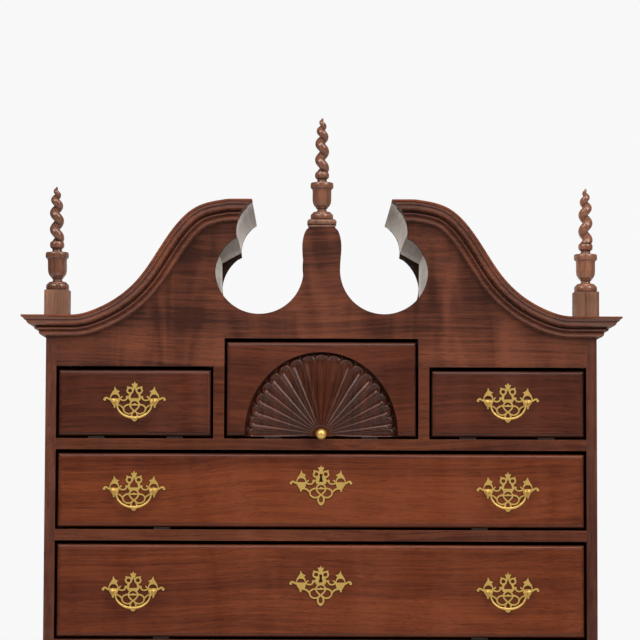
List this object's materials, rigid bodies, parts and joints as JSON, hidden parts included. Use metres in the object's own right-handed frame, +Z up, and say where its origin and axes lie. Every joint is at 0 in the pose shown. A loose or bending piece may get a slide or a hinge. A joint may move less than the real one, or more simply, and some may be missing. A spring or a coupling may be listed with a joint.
{
  "type": "highboy chest of drawers",
  "caption": "Bonnet-top highboy: upper case of drawers under a broken scroll pediment with flame finials, on a lower case with cabriole legs, carved fans and brass bail pulls.",
  "frame": {"origin": "on the floor, under the middle of the piece in width and depth", "axes": "+Z up, -Y the front with the drawers, +X to the right as one faces the front"},
  "size_m": [1.1242, 0.5064, 2.1726],
  "materials": {
    "hard_wood": "polished mahogany",
    "soft_wood": "unfinished",
    "brass": "gilt, satin"
  },
  "bodies": {
    "case": {"upper_left_side": "hard_wood", "upper_right_side": "hard_wood", "upper_top_and_bottom": "soft_wood", "upper_back_boards": "soft_wood", "upper_blades": "hard_wood", "upper_runners": "soft_wood", "tympanum": "hard_wood", "gooseneck_left": "hard_wood", "gooseneck_right": "hard_wood", "cornice_returns": "hard_wood", "bonnet_roof": "soft_wood", "scroll_linings": "soft_wood", "finial_plinths": "hard_wood", "finial_left": "hard_wood", "finial_centre": "hard_wood", "finial_right": "hard_wood", "waist_moulding": "hard_wood", "lower_left_side": "hard_wood", "lower_right_side": "hard_wood", "lower_back": "soft_wood", "front_apron": "hard_wood", "lower_blades": "hard_wood", "lower_runners": "soft_wood", "front_left_leg": "hard_wood", "front_right_leg": "hard_wood", "rear_left_leg": "hard_wood", "rear_right_leg": "hard_wood", "knee_blocks": "hard_wood"},
    "upper_left_drawer": {"upper_left_drawer": "hard_wood", "upper_left_brass": "brass"},
    "upper_left_bail": {"upper_left_bail": "brass"},
    "upper_fan_drawer": {"upper_fan_drawer": "hard_wood", "upper_fan_brass": "brass"},
    "upper_right_drawer": {"upper_right_drawer": "hard_wood", "upper_right_brass": "brass"},
    "upper_right_bail": {"upper_right_bail": "brass"},
    "long_drawer_1": {"long_drawer_1": "hard_wood", "long_1_brass": "brass"},
    "long_1_left_bail": {"long_1_left_bail": "brass"},
    "long_1_right_bail": {"long_1_right_bail": "brass"},
    "long_drawer_2": {"long_drawer_2": "hard_wood", "long_2_brass": "brass"},
    "long_2_left_bail": {"long_2_left_bail": "brass"},
    "long_2_right_bail": {"long_2_right_bail": "brass"},
    "long_drawer_3": {"long_drawer_3": "hard_wood", "long_3_brass": "brass"},
    "long_3_left_bail": {"long_3_left_bail": "brass"},
    "long_3_right_bail": {"long_3_right_bail": "brass"},
    "lower_long_drawer": {"lower_long_drawer": "hard_wood", "lower_long_brass": "brass"},
    "lower_long_left_bail": {"lower_long_left_bail": "brass"},
    "lower_long_right_bail": {"lower_long_right_bail": "brass"},
    "lower_left_drawer": {"lower_left_drawer": "hard_wood", "lower_left_brass": "brass"},
    "lower_left_bail": {"lower_left_bail": "brass"},
    "lower_fan_drawer": {"lower_fan_drawer": "hard_wood", "lower_fan_brass": "brass"},
    "lower_right_drawer": {"lower_right_drawer": "hard_wood", "lower_right_brass": "brass"},
    "lower_right_bail": {"lower_right_bail": "brass"}
  },
  "joints": [
    {"name": "upper_left_slide", "type": "slide", "parent": "case", "child": "upper_left_drawer", "axis": [0, -1, 0], "range_m": [0, 0.34]},
    {"name": "upper_left_bail_swing", "type": "hinge", "parent": "upper_left_drawer", "child": "upper_left_bail", "pos_m": [-0.34513, -0.2103, 1.6405], "axis": [-1, 0, 0], "range_deg": [-8, 170]},
    {"name": "upper_fan_slide", "type": "slide", "parent": "case", "child": "upper_fan_drawer", "axis": [0, -1, 0], "range_m": [0, 0.34]},
    {"name": "upper_right_slide", "type": "slide", "parent": "case", "child": "upper_right_drawer", "axis": [0, -1, 0], "range_m": [0, 0.34]},
    {"name": "upper_right_bail_swing", "type": "hinge", "parent": "upper_right_drawer", "child": "upper_right_bail", "pos_m": [0.34513, -0.2103, 1.6405], "axis": [-1, 0, 0], "range_deg": [-8, 170]},
    {"name": "long_1_slide", "type": "slide", "parent": "case", "child": "long_drawer_1", "axis": [0, -1, 0], "range_m": [0, 0.34]},
    {"name": "long_1_left_bail_swing", "type": "hinge", "parent": "long_drawer_1", "child": "long_1_left_bail", "pos_m": [-0.345, -0.2103, 1.47575], "axis": [-1, 0, 0], "range_deg": [-8, 170]},
    {"name": "long_1_right_bail_swing", "type": "hinge", "parent": "long_drawer_1", "child": "long_1_right_bail", "pos_m": [0.345, -0.2103, 1.47575], "axis": [-1, 0, 0], "range_deg": [-8, 170]},
    {"name": "long_2_slide", "type": "slide", "parent": "case", "child": "long_drawer_2", "axis": [0, -1, 0], "range_m": [0, 0.34]},
    {"name": "long_2_left_bail_swing", "type": "hinge", "parent": "long_drawer_2", "child": "long_2_left_bail", "pos_m": [-0.345, -0.2103, 1.29125], "axis": [-1, 0, 0], "range_deg": [-8, 170]},
    {"name": "long_2_right_bail_swing", "type": "hinge", "parent": "long_drawer_2", "child": "long_2_right_bail", "pos_m": [0.345, -0.2103, 1.29125], "axis": [-1, 0, 0], "range_deg": [-8, 170]},
    {"name": "long_3_slide", "type": "slide", "parent": "case", "child": "long_drawer_3", "axis": [0, -1, 0], "range_m": [0, 0.34]},
    {"name": "long_3_left_bail_swing", "type": "hinge", "parent": "long_drawer_3", "child": "long_3_left_bail", "pos_m": [-0.345, -0.2103, 1.072], "axis": [-1, 0, 0], "range_deg": [-8, 170]},
    {"name": "long_3_right_bail_swing", "type": "hinge", "parent": "long_drawer_3", "child": "long_3_right_bail", "pos_m": [0.345, -0.2103, 1.072], "axis": [-1, 0, 0], "range_deg": [-8, 170]},
    {"name": "lower_long_slide", "type": "slide", "parent": "case", "child": "lower_long_drawer", "axis": [0, -1, 0], "range_m": [0, 0.34]},
    {"name": "lower_long_left_bail_swing", "type": "hinge", "parent": "lower_long_drawer", "child": "lower_long_left_bail", "pos_m": [-0.3505, -0.2403, 0.84125], "axis": [-1, 0, 0], "range_deg": [-8, 170]},
    {"name": "lower_long_right_bail_swing", "type": "hinge", "parent": "lower_long_drawer", "child": "lower_long_right_bail", "pos_m": [0.3505, -0.2403, 0.84125], "axis": [-1, 0, 0], "range_deg": [-8, 170]},
    {"name": "lower_left_slide", "type": "slide", "parent": "case", "child": "lower_left_drawer", "axis": [0, -1, 0], "range_m": [0, 0.34]},
    {"name": "lower_left_bail_swing", "type": "hinge", "parent": "lower_left_drawer", "child": "lower_left_bail", "pos_m": [-0.34787, -0.2403, 0.70675], "axis": [-1, 0, 0], "range_deg": [-8, 170]},
    {"name": "lower_fan_slide", "type": "slide", "parent": "case", "child": "lower_fan_drawer", "axis": [0, -1, 0], "range_m": [0, 0.34]},
    {"name": "lower_right_slide", "type": "slide", "parent": "case", "child": "lower_right_drawer", "axis": [0, -1, 0], "range_m": [0, 0.34]},
    {"name": "lower_right_bail_swing", "type": "hinge", "parent": "lower_right_drawer", "child": "lower_right_bail", "pos_m": [0.34787, -0.2403, 0.70675], "axis": [-1, 0, 0], "range_deg": [-8, 170]}
  ]
}
